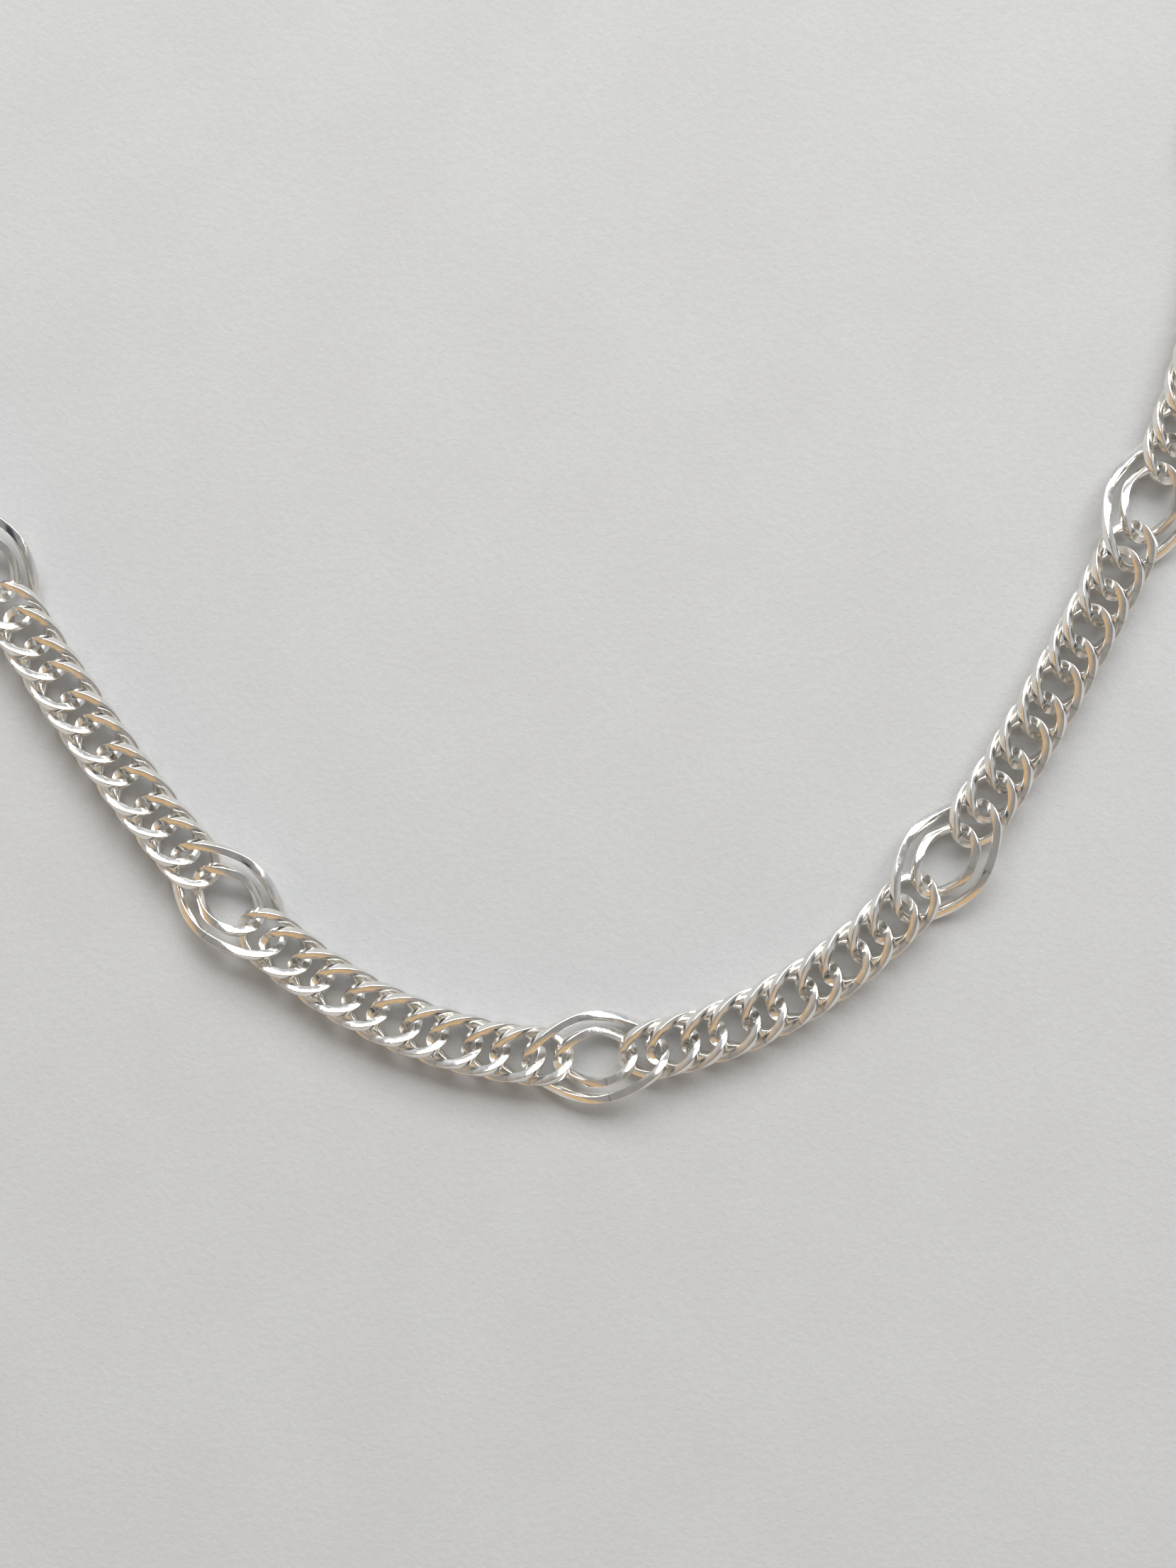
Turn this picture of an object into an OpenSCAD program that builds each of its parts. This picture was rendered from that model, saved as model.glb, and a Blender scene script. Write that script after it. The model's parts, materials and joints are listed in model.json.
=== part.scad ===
// Double curb chain necklace with large twin links, laid open in a U.
// Every link is a loop of nearly square wire, twisted into a saddle, and hooks
// through the next two links on each side. After every ten small links comes
// one large link with a small link loose inside it.
// X runs to the right along the front of the necklace, Y runs up towards the
// clasp and Z is up. The origin is the middle of the front large link.

/* [Wire] */
// Width of the link wire, seen from above
wire_w = 1.1; // [0.9:0.05:1.2]
// Thickness of the link wire
wire_t = 1.05; // [0.8:0.05:1.1]
// Wire of the round rings at the clasp
ring_wire = 0.9; // [0.7:0.05:0.9]

/* [Small links] */
// Half length of a small link, to the middle of its wire
small_a = 4.9; // [4.9:0.02:5.0]
// Half width of a small link, to the middle of its wire
small_b = 3.3; // [3.26:0.02:3.34]
// How far the wire rises and falls from the middle plane
small_rise = 1.22; // [1.2:0.01:1.3]
// Second wave that moves the rise towards the tips
small_skew = 0.045; // [0.03:0.005:0.06]
// Roll of the wire with the slope of the saddle
small_roll = 1.15; // [1.1:0.01:1.2]
// Outward slope of the wire's top at the middle of each long side
small_splay = -0.12; // [-0.2:0.02:0.4]
// The same for the small links that lie loose in the large ones
loose_splay = 0.34; // [-0.2:0.02:0.4]

/* [Large links] */
// Half length of a large link, to the middle of its wire
large_a = 8.95; // [8.85:0.05:9.0]
// Half width of a large link, to the middle of its wire
large_b = 5.3; // [5.2:0.05:5.35]
// How far the wire rises and falls from the middle plane
large_rise = 1.35; // [1.3:0.05:1.4]
// Second wave that moves the rise towards the tips
large_skew = 0.4; // [0.38:0.01:0.42]
// Roll of the wire with the slope of the saddle
large_roll = 1.6; // [1.4:0.05:1.7]
// Outward slope of the wire's top at the middle of each long side
large_splay = 0.44; // [0.2:0.02:0.5]

/* [Chain] */
// Step between the two links of a pair
pair_step = 3.66; // [3.6:0.02:3.7]
// Step from one pair to the next
next_step = 4.58; // [4.52:0.02:4.6]
// Step from a large link to the nearest small link
large_step = 8.2; // [8.15:0.05:8.3]
// Pairs of small links between two large links
pairs = 5; // [5]
// Large links on each side of the front one
larges = 3; // [3]

/* [Lay] */
// Slope of the chain on each side of the U, in degrees
lay_angle = 62; // [50:1:62]
// Length over which the front bends into the sides
lay_reach = 60; // [60:1:90]
// Further turn of the ends towards each other, in degrees
end_turn = 30; // [0:1:35]
// Length along the chain at which that turn begins
turn_from = 85; // [80:1:115]
// Length of chain that the turn takes
turn_over = 110; // [90:1:120]

/* [Clasp] */
// Middle radius of the ring that carries the claw
ring_r = 2.0; // [1.9:0.05:2.0]
// Middle radius of the ring that the claw hooks into
end_ring_r = 2.7; // [2.6:0.05:2.8]
// Thickness of the claw
claw_t = 2.6; // [2.4:0.1:2.8]
// Width of the claw's jaw
jaw_w = 1.5; // [1.3:0.1:1.6]
// Middle radius of the claw's jaw
jaw_r = 2.7; // [2.6:0.1:2.8]

/* [Hidden] */
// How much the outline of a link narrows from an oval towards a rhombus
small_taper = 0.019;
large_taper = 0.03;
// Sections of the wire round a link
small_rings = 24;
large_rings = 32;
// Corners of the wire's section, in half widths and half thicknesses
corners = [[1, 1], [-1, 1], [-1, -1], [1, -1]];

// Length of the pattern from one large link to the next
period = 2 * large_step + pairs * pair_step + (pairs - 1) * next_step;
pair_total = (larges + 1) * pairs;
// Length of chain in one step of the sum that follows the lay
sum_step = 1;

// How far the two rings at the ends stand up from flat
ring_tilt = 58;
end_ring_tilt = 36;
// Clear space between an end link's tip and its ring, and between ring and claw
tip_play = 0.25;
eye_play = 0.15;
ring_x = small_a - wire_w / 2 - tip_play - ring_wire / 2 + ring_r;
end_ring_x = small_a - wire_w / 2 - tip_play - ring_wire / 2 + end_ring_r;
// The claw, measured from the middle of its eye
eye_r = 1.5;
eye_wire = 1.1;
eye_x = ring_x + ring_r + eye_play;
// Middle of the jaw's round, and the angles at which the jaw begins and ends
jaw_x = 6.9;
jaw_from = 168;
jaw_to = 400;
// Angle from which the jaw's tip is cut to clear the lever
jaw_tip_from = 350;
// The heel between eye and jaw is drawn round three circles
heel_eye = [2.4, 0.85];
heel_low = [4.1, -0.9];
heel_play = 0.1;
// The lever, with its end on an arc about the pivot
lever_w = 1.1;
lever_t = 0.8;
lever_from = 148;
lever_to = 30;
lever_reach = 4.2;
lever_gap = 0.12;
tab_angle = 128;
tab_r = 0.6;
pivot = [4.1, 1.75];
lug_r = 0.85;
rivet_r = 0.35;
rivet_play = 0.04;
// The slot in the heel: places and radii of the circles it is drawn round
slot_t = 1.1;
slot_play = 0.25;
slot_spring_r = 0.75;
slot_mouth = [[6.9, 1.2], [4.9, 3.95]];
slot_mouth_r = 0.5;
// The bent leaf spring that pushes the lever shut
spring_t = 0.18;
spring_r = 0.48;
spring_at = [3.2, 0.8];
spring_from = 145;
spring_to = 305;
// Facets of a round part, and of the arc that the jaw and the lever meet on
$fn = 40;
arc_facets = 120;

silver = [0.80, 0.80, 0.79];
bright_silver = [0.86, 0.86, 0.85];
steel = [0.62, 0.63, 0.65];

sides = [["left", -1], ["right", 1]];
function two_digits(i) = str(i < 10 ? "0" : "", i);
function pair_name(side, i) = str(side, "_pair_", two_digits(i));
function large_name(kind, side, i) = str(kind, "_link_", side, "_", i);
pair_names = [for (s = sides, i = [1 : pair_total]) pair_name(s[0], i)];
large_names = [
    for (kind = ["outer", "inner"], s = sides, i = [1 : larges]) large_name(kind, s[0], i)
];
clasp_names = [
    "clasp_ring", "claw_body", "claw_lever", "claw_spring", "claw_rivet", "end_ring"
];

// ---- The lay: heading and place of the chain at a length s from the front ----

function ease(u) = let (v = max(0, min(1, u))) v * v * (3 - 2 * v);
function side_slope(x) = lay_angle * x / pow(1 + pow(x, 4), 0.25);
function heading(s) = side_slope(s / lay_reach) + end_turn * ease((s - turn_from) / turn_over);
function total(v) = [for (i = v) 1] * v;
function spot(s) =
    let (n = ceil(s / sum_step), d = s / n)
    d * total([for (i = [0 : n - 1]) [cos(heading((i + 0.5) * d)), sin(heading((i + 0.5) * d))]]);

// Length along the chain of large link i and of the two links of pair i
function large_at(i) = i * period;
function first_at(i) =
    let (run = floor((i - 1) / pairs), k = (i - 1) % pairs)
    run * period + large_step + k * (pair_step + next_step);
function second_at(i) = first_at(i) + pair_step;

// Puts its child at length s on the left (-1) or right (1) side of the necklace
module lay(side, s) {
    p = spot(s);
    translate([side * p[0], p[1], 0])
        rotate([0, 0, side * heading(s)])
            children();
}

// Puts its child at the last link, with X pointing out of the end of the chain
module at_end(side) {
    lay(side, second_at(pair_total))
        rotate([0, 0, side > 0 ? 0 : 180])
            children();
}

// ---- One link: a loop of square wire on a saddle ----

// A link's shape: half length, half width, taper, rise, skew, roll and splay
small_shape = [small_a, small_b, small_taper, small_rise, small_skew, small_roll, small_splay];
loose_shape = [small_a, small_b, small_taper, small_rise, small_skew, small_roll, loose_splay];
large_shape = [large_a, large_b, large_taper, large_rise, large_skew, large_roll, large_splay];

function wire_middle(a, shape) =
    let (taper = shape[2])
    [
        shape[0] * (cos(a) - taper * (cos(a) - cos(3 * a))),
        shape[1] * (sin(a) - taper * (sin(a) + sin(3 * a))),
        -shape[3] * sin(2 * a) - shape[4] * sin(4 * a)
    ];
function unit(v) = v / norm(v);
function square_to(v, t) = unit(v - (v * t) * t);

// Which way the wire's top faces at angle a, before it is squared to the wire
function wire_lean(a, shape) =
    let (slope = 2 * shape[3] * shape[5], splay = shape[6])
    [
        slope * sin(a) / shape[0],
        slope * cos(a) / shape[1] + splay * sin(a) * abs(sin(a)),
        1
    ];

// The four corners of the wire at angle a round the loop
function wire_corners(a, step, shape) =
    let (
        m = wire_middle(a, shape),
        along = unit(wire_middle(a + step, shape) - wire_middle(a - step, shape)),
        up = square_to(wire_lean(a, shape), along),
        out = cross(along, up)
    )
    [for (c = corners) m + out * c[0] * wire_w / 2 + up * c[1] * wire_t / 2];

module link(rings, shape) {
    step = 360 / rings;
    points = [for (i = [0 : rings - 1]) each wire_corners(i * step, step, shape)];
    faces = [
        for (i = [0 : rings - 1], c = [0 : 3])
            let (
                here = 4 * i,
                next = 4 * ((i + 1) % rings),
                d = (c + 1) % 4
            )
            each [
                [here + c, here + d, next + d],
                [here + c, next + d, next + c]
            ]
    ];
    polyhedron(points = points, faces = faces, convexity = 6);
}

module small_link() {
    link(small_rings, small_shape);
}

module loose_link() {
    link(small_rings, loose_shape);
}

module large_link() {
    link(large_rings, large_shape);
}

// ---- The chain ----

module link_pair(side, i) {
    color(silver) {
        lay(side, first_at(i)) small_link();
        lay(side, second_at(i)) small_link();
    }
}

module outer_link(side, i) {
    color(bright_silver)
        lay(side, large_at(i))
            large_link();
}

module inner_link(side, i) {
    color(silver)
        lay(side, large_at(i))
            loose_link();
}

module outer_link_front() {
    color(bright_silver) large_link();
}

module inner_link_front() {
    color(silver) loose_link();
}

// ---- The clasp ----

module ring(radius, wire) {
    rotate_extrude()
        translate([radius, 0])
            circle(d = wire);
}

module clasp_ring() {
    color(silver)
        at_end(1)
            translate([ring_x, 0, 0])
                rotate([ring_tilt, 0, 0])
                    ring(ring_r, ring_wire);
}

module end_ring() {
    color(silver)
        at_end(-1)
            translate([end_ring_x, 0, 0])
                rotate([end_ring_tilt, 0, 0])
                    ring(end_ring_r, ring_wire);
}

// Puts its child at the claw's eye, with X pointing out of the end of the chain
module at_claw() {
    at_end(1)
        translate([eye_x, 0, 0])
            children();
}

module plate(thickness) {
    linear_extrude(height = thickness, center = true)
        children();
}

// Part of a round band, between two angles
module band(radius, width, from, to) {
    difference() {
        circle(r = radius + width / 2);
        circle(r = radius - width / 2);
        pie(radius * 3, to, from + 360);
    }
}

// The wedge between two angles, as a polygon
module pie(radius, from, to) {
    steps = 8;
    polygon(concat(
        [[0, 0]],
        [for (i = [0 : steps]) let (a = from + (to - from) * i / steps) radius * [cos(a), sin(a)]]
    ));
}

// The jaw runs round from the heel and ends on an arc about the lever's pivot
module jaw() {
    translate([jaw_x, 0])
        band(jaw_r, jaw_w, jaw_from, 360);
    difference() {
        translate([jaw_x, 0])
            band(jaw_r, jaw_w, jaw_tip_from, jaw_to);
        translate(pivot)
            circle(r = lever_reach + lever_gap, $fn = arc_facets);
    }
}

module heel() {
    hull() {
        translate([heel_eye[0], 0])
            circle(r = heel_eye[1]);
        translate(heel_low)
            circle(r = jaw_w / 2);
        translate(pivot)
            circle(r = lug_r + heel_play);
    }
}

module claw_body() {
    color(bright_silver)
        at_claw()
            difference() {
                union() {
                    ring(eye_r, eye_wire);
                    plate(claw_t)
                        difference() {
                            union() {
                                heel();
                                jaw();
                            }
                            translate([jaw_x, 0])
                                circle(r = jaw_r - jaw_w / 2);
                        }
                }
                lever_slot();
                translate([pivot[0], pivot[1], 0])
                    cylinder(r = rivet_r + rivet_play, h = 2 * claw_t, center = true);
            }
}

// The slot in the heel that holds the spring and the lever's lug
module lever_slot() {
    plate(slot_t)
        hull() {
            translate(pivot)
                circle(r = lug_r + slot_play);
            translate(spring_at)
                circle(r = slot_spring_r);
            for (at = slot_mouth)
                translate(at)
                    circle(r = slot_mouth_r);
        }
}

module claw_lever() {
    color(silver)
        at_claw()
            plate(lever_t)
                difference() {
                    union() {
                        translate(pivot)
                            circle(r = lug_r);
                        lever_arm();
                        lever_tab();
                    }
                    translate(pivot)
                        circle(r = rivet_r + rivet_play);
                }
}

// The curved arm, which ends on an arc about the pivot
module lever_arm() {
    intersection() {
        translate([jaw_x, 0])
            band(jaw_r, lever_w, lever_to, lever_from);
        translate(pivot)
            circle(r = lever_reach, $fn = arc_facets);
    }
}

// The thumb tab on the outside of the lever
module lever_tab() {
    translate([jaw_x, 0])
        rotate(tab_angle)
            translate([jaw_r + lever_w / 2, 0])
                circle(r = tab_r);
}

module claw_spring() {
    color(steel)
        at_claw()
            translate([spring_at[0], spring_at[1], 0])
                plate(lever_t / 2)
                    band(spring_r, spring_t, spring_from, spring_to);
}

module claw_rivet() {
    color(steel)
        at_claw()
            translate([pivot[0], pivot[1], 0])
                cylinder(r = rivet_r, h = claw_t, center = true);
}

// ---- The nodes ----

outer_link_front();
inner_link_front();
for (s = sides, i = [1 : pair_total])
    link_pair(s[1], i);
for (s = sides, i = [1 : larges]) {
    outer_link(s[1], i);
    inner_link(s[1], i);
}
clasp_ring();
claw_body();
claw_lever();
claw_spring();
claw_rivet();
end_ring();
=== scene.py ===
"""The looks of the double curb chain necklace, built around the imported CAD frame.

Every link and clasp piece is made again in finer mesh code where its CAD node lies, and stands for it.
The chain's own sizes are in millimetres and degrees, as in the CAD source; Blender's are metres.
"""
import json
import math
import random

import bmesh
import bpy
from mathutils import Matrix, Vector

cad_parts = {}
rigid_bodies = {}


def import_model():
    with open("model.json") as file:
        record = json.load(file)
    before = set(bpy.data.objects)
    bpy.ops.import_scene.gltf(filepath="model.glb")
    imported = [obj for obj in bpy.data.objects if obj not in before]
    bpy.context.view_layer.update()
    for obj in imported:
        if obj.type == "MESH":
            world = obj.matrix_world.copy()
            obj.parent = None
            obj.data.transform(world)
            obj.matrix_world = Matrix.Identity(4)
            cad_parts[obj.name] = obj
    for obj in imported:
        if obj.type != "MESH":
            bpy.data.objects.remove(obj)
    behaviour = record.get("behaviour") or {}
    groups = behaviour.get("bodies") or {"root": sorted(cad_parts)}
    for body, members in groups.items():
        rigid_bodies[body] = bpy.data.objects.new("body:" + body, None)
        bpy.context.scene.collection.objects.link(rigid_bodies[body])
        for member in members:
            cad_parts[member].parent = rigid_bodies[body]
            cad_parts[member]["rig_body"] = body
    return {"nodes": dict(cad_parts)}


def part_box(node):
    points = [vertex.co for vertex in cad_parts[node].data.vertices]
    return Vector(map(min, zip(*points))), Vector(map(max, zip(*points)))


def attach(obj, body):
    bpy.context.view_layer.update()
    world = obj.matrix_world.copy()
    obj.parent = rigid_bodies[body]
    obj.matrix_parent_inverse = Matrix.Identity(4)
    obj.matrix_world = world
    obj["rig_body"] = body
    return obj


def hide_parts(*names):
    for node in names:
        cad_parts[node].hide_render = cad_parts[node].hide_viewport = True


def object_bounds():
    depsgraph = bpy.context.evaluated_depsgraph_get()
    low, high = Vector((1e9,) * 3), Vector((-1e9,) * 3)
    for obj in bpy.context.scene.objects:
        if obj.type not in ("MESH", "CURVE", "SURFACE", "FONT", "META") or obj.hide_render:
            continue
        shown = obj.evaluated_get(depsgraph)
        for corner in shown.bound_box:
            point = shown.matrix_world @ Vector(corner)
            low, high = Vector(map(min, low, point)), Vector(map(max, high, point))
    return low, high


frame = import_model()
cad_low, cad_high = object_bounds()
MM = 0.001

# ---- The chain's own sizes ----
WIRE_W, WIRE_T = 1.1, 1.05
SMALL = {
    "half": (4.9, 3.3), "taper": 0.019, "rise": 1.22, "skew": 0.045,
    "roll": 1.15, "splay": -0.12, "stations": 120,
}
LOOSE = {**SMALL, "splay": 0.34}      # the small link that lies loose in a large one
LARGE = {
    "half": (8.95, 5.3), "taper": 0.03, "rise": 1.35, "skew": 0.4,
    "roll": 1.6, "splay": 0.44, "stations": 192,
}
PAIR_STEP, NEXT_STEP, LARGE_STEP = 3.66, 4.58, 8.2
PAIRS, LARGES = 5, 3
LAY_ANGLE, LAY_REACH = 62, 60
END_TURN, TURN_FROM, TURN_OVER = 30, 85, 110
PERIOD = 2 * LARGE_STEP + PAIRS * PAIR_STEP + (PAIRS - 1) * NEXT_STEP
PAIR_TOTAL = (LARGES + 1) * PAIRS
SIDES = (("left", -1), ("right", 1))

# The round rings at the two ends
RING_WIRE = 0.9
RING_R, END_RING_R = 2.0, 2.7
RING_TILT, END_RING_TILT = 58, 36
TIP_PLAY, EYE_PLAY = 0.25, 0.15
TIP_INSIDE = SMALL["half"][0] - WIRE_W / 2 - TIP_PLAY - RING_WIRE / 2
EYE_X = TIP_INSIDE + 2 * RING_R + EYE_PLAY
PIVOT = (4.1, 1.75)
CLAW_T = 2.6
RIVET_R = 0.35


# ---- The lay of the chain ----

def ease(u):
    v = min(1.0, max(0.0, u))
    return v * v * (3 - 2 * v)


def heading(s):
    """The chain's direction at length s from the front, in degrees."""
    x = s / LAY_REACH
    return LAY_ANGLE * x / (1 + x ** 4) ** 0.25 + END_TURN * ease((s - TURN_FROM) / TURN_OVER)


def spot(s):
    """The chain's place at length s from the front, in millimetres."""
    if s == 0:
        return 0.0, 0.0
    n = math.ceil(s)
    d = s / n
    turns = [math.radians(heading((i + 0.5) * d)) for i in range(n)]
    return d * sum(map(math.cos, turns)), d * sum(map(math.sin, turns))


def turn(degrees, axis):
    return Matrix.Rotation(math.radians(degrees), 4, axis)


def shift(x, y=0.0, z=0.0):
    return Matrix.Translation((x * MM, y * MM, z * MM))


def lay(side, s):
    """The matrix that puts a link at length s on the left (-1) or right (1) side."""
    x, y = spot(s)
    return shift(side * x, y) @ turn(side * heading(s), "Z")


def large_at(i):
    return i * PERIOD


def first_at(i):
    run, k = divmod(i - 1, PAIRS)
    return run * PERIOD + LARGE_STEP + k * (PAIR_STEP + NEXT_STEP)


def at_end(side):
    """The matrix of the last link, with X pointing out of the end of the chain."""
    return lay(side, first_at(PAIR_TOTAL) + PAIR_STEP) @ turn(0 if side > 0 else 180, "Z")


# ---- Pieces ----

def piece(name, bm, material):
    """A named object from a mesh, smooth across all but its sharp edges."""
    bmesh.ops.recalc_face_normals(bm, faces=bm.faces)
    mesh = bpy.data.meshes.new(name)
    bm.to_mesh(mesh)
    bm.free()
    mesh.materials.append(material)
    mesh.shade_smooth()
    obj = bpy.data.objects.new(name, mesh)
    bpy.context.scene.collection.objects.link(obj)
    return obj


NEAR = 0.4 * MM       # how closely a piece's box has to match its CAD node's


def stand_for(obj, node):
    """obj takes the place of a CAD node and rides on its body."""
    low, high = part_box(node)
    own = [Vector(c) for c in obj.bound_box]
    for k in range(3):
        off = max(abs(min(c[k] for c in own) - low[k]), abs(max(c[k] for c in own) - high[k]))
        if off > NEAR:
            raise ValueError(f"{obj.name} is {off / MM:.2f} mm away from {node}")
    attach(obj, frame["nodes"][node]["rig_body"])
    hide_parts(node)


# ---- Links ----

EDGE = 0.12           # radius of the wire's rounded edges
EDGE_STEPS = 3
CROWN = 0.012         # how far the middle of each flat stands proud
SEAM_ANGLE = 282      # where the solder seam lies round a link
SEAM_SPREAD = 9
SEAM_WIDTH = 1.6
SEAM_DEPTH = 0.035
WOBBLE = 0.014        # how far the wire rolls to and fro along a link, in radians
WAVES = 4             # the wobble is a sum of waves, of so many periods round a link each
WAVE_COUNT = (3, 9)
WAVE_SIZE = (0.4, 1.0)

rng = random.Random(11)


def section():
    """The wire's section, in (out, up) millimetres: near square, with rounded edges and crowned flats."""
    half = Vector((WIRE_W / 2, WIRE_T / 2))
    points = []
    for quarter in range(4):
        middle = math.radians(45 + 90 * quarter)
        sign = Vector((math.copysign(1, math.cos(middle)), math.copysign(1, math.sin(middle))))
        centre = Vector((sign.x * (half.x - EDGE), sign.y * (half.y - EDGE)))
        for k in range(EDGE_STEPS + 1):
            t = math.radians(90 * quarter + 90 * k / EDGE_STEPS)
            points.append(centre + (EDGE - CROWN) * Vector((math.cos(t), math.sin(t))))
        flat = math.radians(90 * (quarter + 1))
        points.append(Vector((half.x * math.cos(flat), half.y * math.sin(flat))))
    return points


SECTION = section()


def wire_middle(a, link):
    """The middle of the wire at angle a round the link: an oval drawn towards a rhombus, on a saddle."""
    taper = link["taper"]
    return Vector((
        link["half"][0] * (math.cos(a) - taper * (math.cos(a) - math.cos(3 * a))),
        link["half"][1] * (math.sin(a) - taper * (math.sin(a) + math.sin(3 * a))),
        -link["rise"] * math.sin(2 * a) - link["skew"] * math.sin(4 * a),
    ))


def wire_lean(a, link):
    """Which way the wire's top faces at angle a, before it is squared to the wire."""
    slope = 2 * link["rise"] * link["roll"]
    return Vector((
        slope * math.sin(a) / link["half"][0],
        slope * math.cos(a) / link["half"][1] + link["splay"] * math.sin(a) * abs(math.sin(a)),
        1.0,
    ))


def join_loops(bm, loops):
    """Skins a closed row of closed loops of vertices."""
    sides = len(loops[0])
    for i, here in enumerate(loops):
        there = loops[(i + 1) % len(loops)]
        for j in range(sides):
            k = (j + 1) % sides
            bm.faces.new((here[j], here[k], there[k], there[j]))


def add_link(bm, link, place):
    """Adds one link to the mesh: a loop of the wire's section, with its solder seam and a slight wobble."""
    seam = bm.verts.layers.float.get("seam") or bm.verts.layers.float.new("seam")
    n = link["stations"]
    step = 2 * math.pi / n
    seam_at = SEAM_ANGLE + rng.uniform(-SEAM_SPREAD, SEAM_SPREAD)
    waves = [
        (math.floor(rng.uniform(*WAVE_COUNT)), rng.uniform(0, 2 * math.pi), rng.uniform(*WAVE_SIZE))
        for _ in range(WAVES)
    ]
    loops = []
    for i in range(n):
        a = i * step
        along = (wire_middle(a + step, link) - wire_middle(a - step, link)).normalized()
        lean = wire_lean(a, link)
        up = (lean - lean.dot(along) * along).normalized()
        out = along.cross(up)
        wave = sum(size * math.sin(count * a + phase) for count, phase, size in waves)
        roll = Matrix.Rotation(WOBBLE * wave, 2)
        off_seam = (math.degrees(a) - seam_at) * link["half"][0] / SMALL["half"][0] / SEAM_WIDTH
        dip = math.exp(-off_seam ** 2)
        shrink = 1 - SEAM_DEPTH * dip
        loop = []
        for p in SECTION:
            q = roll @ p * shrink
            v = bm.verts.new(place @ ((wire_middle(a, link) + out * q.x + up * q.y) * MM))
            v[seam] = dip
            loop.append(v)
        loops.append(loop)
    join_loops(bm, loops)


def link_piece(name, node, link, places, material):
    bm = bmesh.new()
    for place in places:
        add_link(bm, link, place)
    stand_for(piece(name, bm, material), node)


# ---- Materials ----

class Nodes:
    """The node tree of a material or world, with short calls to add and join nodes."""

    def __init__(self, owner, shader, coordinate):
        owner.use_nodes = True
        self.tree = owner.node_tree
        self.shader = next(n for n in self.tree.nodes if n.type == shader)
        self.where = self.add("ShaderNodeTexCoord").outputs[coordinate]

    def add(self, kind, **values):
        node = self.tree.nodes.new(kind)
        for key, value in values.items():
            setattr(node, key, value)
        return node

    def join(self, out, into):
        self.tree.links.new(out, into)

    def noise(self, scale, detail=2.0, stretch=(1, 1, 1), rough=0.5):
        """Noise of about 1/scale metres, as a 0 to 1 value."""
        fit = self.add("ShaderNodeMapping")
        fit.inputs["Scale"].default_value = stretch
        self.join(self.where, fit.inputs["Vector"])
        made = self.add("ShaderNodeTexNoise")
        made.inputs["Scale"].default_value = scale
        made.inputs["Detail"].default_value = detail
        made.inputs["Roughness"].default_value = rough
        self.join(fit.outputs["Vector"], made.inputs["Vector"])
        return made.outputs["Fac"]

    def spread(self, value, low, high, from_low=0.0, from_high=1.0):
        """Maps a value from one range to another."""
        made = self.add("ShaderNodeMapRange")
        made.interpolation_type = "SMOOTHSTEP"
        for key, v in (("From Min", from_low), ("From Max", from_high), ("To Min", low), ("To Max", high)):
            made.inputs[key].default_value = v
        self.join(value, made.inputs["Value"])
        return made.outputs["Result"]

    def mix(self, share, first, second):
        """Mixes two colours, each a colour or an output, by a 0 to 1 value."""
        made = self.add("ShaderNodeMix", data_type="RGBA")
        self.join(share, made.inputs["Factor"])
        for socket, colour in zip((made.inputs[6], made.inputs[7]), (first, second)):
            if isinstance(colour, tuple):
                socket.default_value = (*colour, 1)
            else:
                self.join(colour, socket)
        return made.outputs[2]

    def sum(self, *values):
        total = values[0]
        for v in values[1:]:
            made = self.add("ShaderNodeMath", operation="ADD")
            self.join(total, made.inputs[0])
            self.join(v, made.inputs[1])
            total = made.outputs[0]
        return total

    def bump(self, height, distance):
        made = self.add("ShaderNodeBump")
        made.inputs["Distance"].default_value = distance
        self.join(height, made.inputs["Height"])
        self.join(made.outputs["Normal"], self.shader.inputs["Normal"])

    def seam(self):
        made = self.add("ShaderNodeAttribute")
        made.attribute_name = "seam"
        return made.outputs["Fac"]


def surface(name):
    """A new material and its nodes."""
    material = bpy.data.materials.new(name)
    return material, Nodes(material, "BSDF_PRINCIPLED", "Object")


PIT_GREY = (0.50, 0.50, 0.50)
SEAM_GREY = (0.52, 0.50, 0.46)


def silver(name, tint, dull, rough, uneven):
    """Polished silver: faint clouding, fine drawn and polishing marks, tiny pits and a darker solder seam.

    Its colour runs from dull to tint; uneven is the height of its clouding in millimetres.
    """
    material, n = surface(name)
    n.shader.inputs["Metallic"].default_value = 1.0
    cloud = n.noise(600, 2)
    pits = n.noise(5200, 2, rough=0.65)
    marks = n.noise(2600, 2, stretch=(1, 0.22, 1))
    colour = n.mix(n.spread(cloud, 0, 1, 0.38, 0.66), dull, tint)
    colour = n.mix(n.spread(pits, 0, 0.55, 0.66, 0.74), colour, PIT_GREY)
    colour = n.mix(n.spread(n.seam(), 0, 0.6), colour, SEAM_GREY)
    n.join(colour, n.shader.inputs["Base Color"])
    n.join(n.spread(n.sum(cloud, marks), rough * 0.55, rough * 1.7, 0.6, 1.4), n.shader.inputs["Roughness"])
    n.bump(n.sum(cloud, n.spread(marks, 0, 0.05), n.spread(pits, 0, -0.03, 0.64, 0.74)), uneven * MM)
    return material


def steel(name):
    """Satin spring steel, brushed across."""
    material, n = surface(name)
    n.shader.inputs["Metallic"].default_value = 1.0
    brush = n.noise(9000, 3, stretch=(0.12, 1, 1))
    n.join(n.mix(brush, (0.42, 0.43, 0.45), (0.58, 0.59, 0.61)), n.shader.inputs["Base Color"])
    n.join(n.spread(brush, 0.25, 0.42), n.shader.inputs["Roughness"])
    n.bump(brush, 0.02 * MM)
    return material


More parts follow.
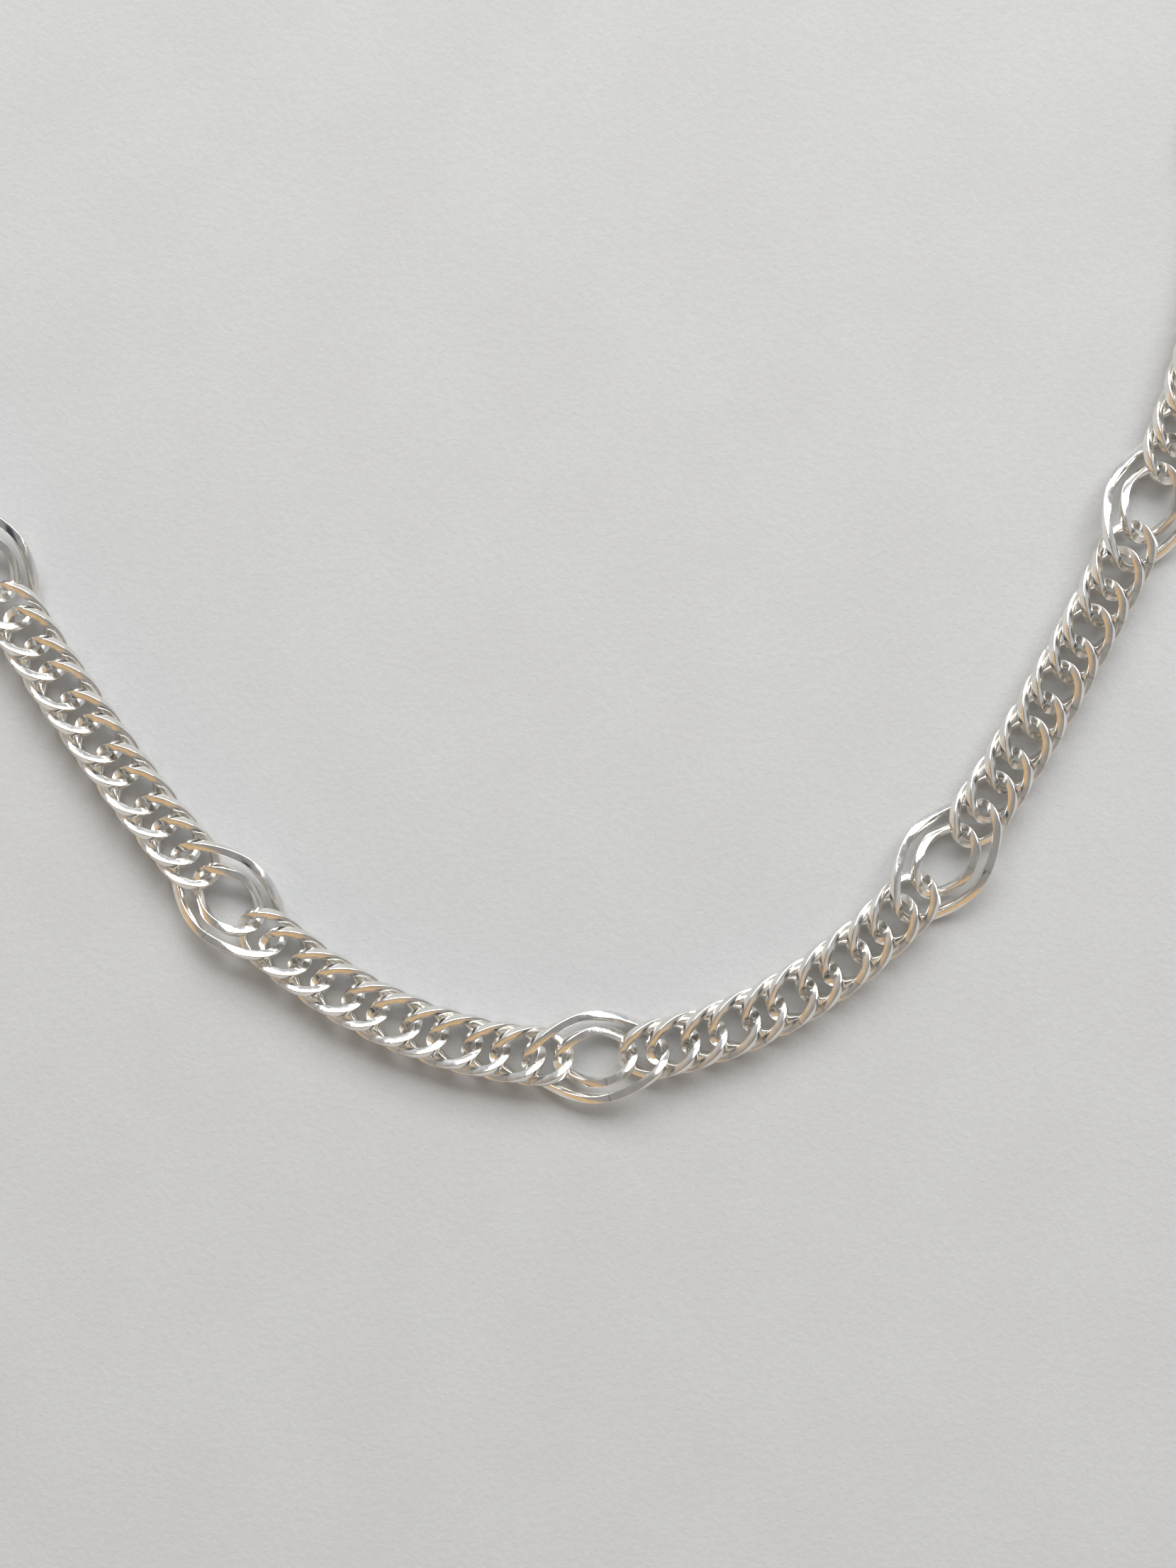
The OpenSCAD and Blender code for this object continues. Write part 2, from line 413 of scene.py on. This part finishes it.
def card(name):
    """The pale matt card that the necklace lies on, with a faint paper grain."""
    material, n = surface(name)
    n.shader.inputs["Roughness"].default_value = 0.8
    n.shader.inputs["Specular IOR Level"].default_value = 0.25
    cloud = n.noise(60, 3)
    grain = n.noise(1500, 3, rough=0.6)
    shade = n.mix(n.spread(cloud, 0, 1, 0.3, 0.7), (0.68, 0.683, 0.68), (0.70, 0.705, 0.70))
    shade = n.mix(n.spread(grain, 0.35, 0, 0.3, 0.7), shade, (0.62, 0.624, 0.62))
    n.join(shade, n.shader.inputs["Base Color"])
    n.bump(grain, 0.06 * MM)
    return material


LINK_UNEVEN, CLASP_UNEVEN = 0.035, 0.012
SMALL_SILVER = silver("small_link_silver", (0.96, 0.94, 0.90), (0.87, 0.845, 0.80), 0.15, LINK_UNEVEN)
LARGE_SILVER = silver("large_link_silver", (0.97, 0.95, 0.91), (0.89, 0.865, 0.82), 0.13, LINK_UNEVEN)
CLASP_SILVER = silver("clasp_silver", (0.95, 0.93, 0.89), (0.86, 0.835, 0.79), 0.12, CLASP_UNEVEN)
SPRING_STEEL = steel("spring_steel")


# ---- The chain ----

link_piece("front_outer", "outer_link_front", LARGE, [Matrix()], LARGE_SILVER)
link_piece("front_inner", "inner_link_front", LOOSE, [Matrix()], SMALL_SILVER)
for word, side in SIDES:
    for i in range(1, PAIR_TOTAL + 1):
        both = [lay(side, first_at(i)), lay(side, first_at(i) + PAIR_STEP)]
        node = f"{word}_pair_{i:02d}"
        link_piece(f"{word}_links_{i:02d}", node, SMALL, both, SMALL_SILVER)
    for i in range(1, LARGES + 1):
        here = [lay(side, large_at(i))]
        outer, inner = f"outer_link_{word}_{i}", f"inner_link_{word}_{i}"
        link_piece(f"{word}_outer_{i}", outer, LARGE, here, LARGE_SILVER)
        link_piece(f"{word}_inner_{i}", inner, LOOSE, here, SMALL_SILVER)


# ---- The clasp ----

RING_STATIONS, RING_SIDES = 96, 20
RING_CUT_AT = 90      # where a jump ring's saw cut lies, and its half width, in degrees
RING_CUT = 2.2
RING_CUT_DEPTH = 0.06


def jump_ring(name, node, place, radius):
    """A round wire ring with the fine saw cut where it was closed."""
    bm = bmesh.new()
    seam = bm.verts.layers.float.new("seam")
    loops = []
    for i in range(RING_STATIONS):
        degrees = 360 * i / RING_STATIONS
        a = math.radians(degrees)
        dip = math.exp(-((degrees - RING_CUT_AT) / RING_CUT) ** 2)
        r = RING_WIRE / 2 * (1 - RING_CUT_DEPTH * dip)
        out = Vector((math.cos(a), math.sin(a), 0))
        loop = []
        for j in range(RING_SIDES):
            t = 2 * math.pi * j / RING_SIDES
            spoke = out * (radius + r * math.cos(t))
            v = bm.verts.new(place @ ((spoke + Vector((0, 0, r * math.sin(t)))) * MM))
            v[seam] = dip
            loop.append(v)
        loops.append(loop)
    join_loops(bm, loops)
    stand_for(piece(name, bm, CLASP_SILVER), node)


def cast_part(name, node, voxel, rounds, material):
    """A cast part: the CAD solid remeshed in voxels of that many millimetres, its edges smoothed round."""
    mesh = frame["nodes"][node].data.copy()
    obj = bpy.data.objects.new(name, mesh)
    bpy.context.scene.collection.objects.link(obj)
    remesh = obj.modifiers.new("remesh", "REMESH")
    remesh.mode = "VOXEL"
    remesh.voxel_size = voxel * MM
    soften = obj.modifiers.new("soften", "SMOOTH")
    soften.factor = 0.5
    soften.iterations = rounds
    bpy.context.view_layer.update()
    done = bpy.data.meshes.new_from_object(obj.evaluated_get(bpy.context.evaluated_depsgraph_get()))
    obj.modifiers.clear()
    obj.data = done
    done.materials.clear()
    done.materials.append(material)
    done.shade_smooth()
    bpy.context.view_layer.update()
    stand_for(obj, node)


def lathe(bm, profile, place, sides=36):
    """Turns a list of (radius, height) millimetres about Z; both ends close at radius 0."""
    loops = []
    for radius, z in profile:
        if radius == 0:
            loops.append([bm.verts.new(place @ (Vector((0, 0, z)) * MM))])
        else:
            turns = [2 * math.pi * i / sides for i in range(sides)]
            loops.append([
                bm.verts.new(place @ (Vector((radius * math.cos(t), radius * math.sin(t), z)) * MM))
                for t in turns
            ])
    for low, high in zip(loops, loops[1:]):
        for i in range(sides):
            k = (i + 1) % sides
            corners = [low[i % len(low)], low[k % len(low)], high[k % len(high)], high[i % len(high)]]
            bm.faces.new(list(dict.fromkeys(corners)))


def rivet(name, node):
    """The lever's rivet, with softly domed ends."""
    half = CLAW_T / 2
    dome = ((0, 0), (0.55, 0.01), (0.85, 0.05), (1, 0.14))
    side = [(RIVET_R * share, -half + drop) for share, drop in dome]
    profile = side + [(r, -z) for r, z in reversed(side)]
    bm = bmesh.new()
    lathe(bm, profile, at_end(1) @ shift(EYE_X + PIVOT[0], PIVOT[1]))
    stand_for(piece(name, bm, SPRING_STEEL), node)


for name, node, side, radius, tilt in (
    ("ring_right", "clasp_ring", 1, RING_R, RING_TILT),
    ("ring_left", "end_ring", -1, END_RING_R, END_RING_TILT),
):
    jump_ring(name, node, at_end(side) @ shift(TIP_INSIDE + radius) @ turn(tilt, "X"), radius)
for name, node, voxel, rounds, material, slot in (
    ("claw", "claw_body", 0.07, 12, CLASP_SILVER, "clasp_silver"),
    ("lever", "claw_lever", 0.05, 8, CLASP_SILVER, "clasp_silver"),
    ("spring", "claw_spring", 0.03, 3, SPRING_STEEL, "spring_steel"),
):
    cast_part(name, node, voxel, rounds, material)
rivet("rivet", "claw_rivet")


# ---- Floor, lights and camera ----

# The framing: the middle of the view, the scale at the floor and the turn of the picture
AIM = Vector((0.0009, 0.0350, 0))
PX_PER_MM = 11.0
FRAME_PX = 2212
LENS, SENSOR = 55, 36
TURN = 3.1

FLOOR_HALF = 2.5

# The surroundings' colours, and the heights (sines of elevation) between which each gives way to the next
WARM_SIDE, COOL_SIDE = (0.66, 0.46, 0.26), (0.50, 0.52, 0.55)
OVERHEAD, OVERHEAD_FROM, OVERHEAD_TO = (0.29, 0.285, 0.285), 0.3, 0.62
ZENITH, ZENITH_FROM, ZENITH_TO = (0.05, 0.06, 0.08), 0.94, 0.98
TOWARDS_COOL = (0.5, 0.87, 0.0)
COOL_FROM, COOL_TO = -0.45, 0.5

# The window: its compass direction (0 is -Y and 90 is +X) and height in degrees, and its metres
WINDOW_AZIMUTH, WINDOW_ELEVATION = 165, 40
WINDOW_DISTANCE = 1.5
WINDOW_SIZE = (2.2, 0.8)
WINDOW_RADIANCE = 5.2
WINDOW_COLOUR = (0.97, 0.985, 1.0)


def make_floor():
    h = FLOOR_HALF
    bm = bmesh.new()
    bm.faces.new([bm.verts.new((x, y, cad_low.z)) for x, y in ((-h, -h), (h, -h), (h, h), (-h, h))])
    piece("floor", bm, card("floor_card"))


def make_window():
    """One broad soft light, facing the middle of the view."""
    light = bpy.data.lights.new("window", "AREA")
    light.shape = "RECTANGLE"
    light.size, light.size_y = WINDOW_SIZE
    light.energy = WINDOW_RADIANCE * math.pi * WINDOW_SIZE[0] * WINDOW_SIZE[1]
    light.color = WINDOW_COLOUR
    obj = bpy.data.objects.new("window", light)
    a, e = math.radians(WINDOW_AZIMUTH), math.radians(WINDOW_ELEVATION)
    back = Vector((math.sin(a) * math.cos(e), -math.cos(a) * math.cos(e), math.sin(e)))
    obj.location = AIM + back * WINDOW_DISTANCE
    obj.rotation_mode = "QUATERNION"
    obj.rotation_quaternion = (-back).to_track_quat("-Z", "Y")
    bpy.context.scene.collection.objects.link(obj)


def make_world():
    """Soft surroundings: cool on the window's side, warm on the other, darker straight overhead."""
    world = bpy.data.worlds.new("studio")
    bpy.context.scene.world = world
    n = Nodes(world, "BACKGROUND", "Generated")
    parts = n.add("ShaderNodeSeparateXYZ")
    n.join(n.where, parts.inputs[0])
    across = n.add("ShaderNodeVectorMath", operation="DOT_PRODUCT")
    across.inputs[1].default_value = TOWARDS_COOL
    n.join(n.where, across.inputs[0])
    height = parts.outputs["Z"]
    sides = n.mix(n.spread(across.outputs["Value"], 0, 1, COOL_FROM, COOL_TO), WARM_SIDE, COOL_SIDE)
    overhead = n.mix(n.spread(height, 0, 1, OVERHEAD_FROM, OVERHEAD_TO), sides, OVERHEAD)
    whole = n.mix(n.spread(height, 0, 1, ZENITH_FROM, ZENITH_TO), overhead, ZENITH)
    n.join(whole, n.shader.inputs["Color"])


def make_camera():
    cam = bpy.data.cameras.new("camera")
    cam.lens, cam.sensor_width = LENS, SENSOR
    cam.clip_start, cam.clip_end = 0.01, 20
    distance = FRAME_PX / PX_PER_MM * MM * LENS / SENSOR
    camera = bpy.data.objects.new("camera", cam)
    camera.matrix_world = Matrix.Translation(AIM) @ turn(-TURN, "Z") @ Matrix.Translation((0, 0, distance))
    bpy.context.scene.collection.objects.link(camera)
    bpy.context.scene.camera = camera


make_floor()
make_world()
make_camera()
make_window()
bpy.context.scene.view_settings.view_transform = "Standard"
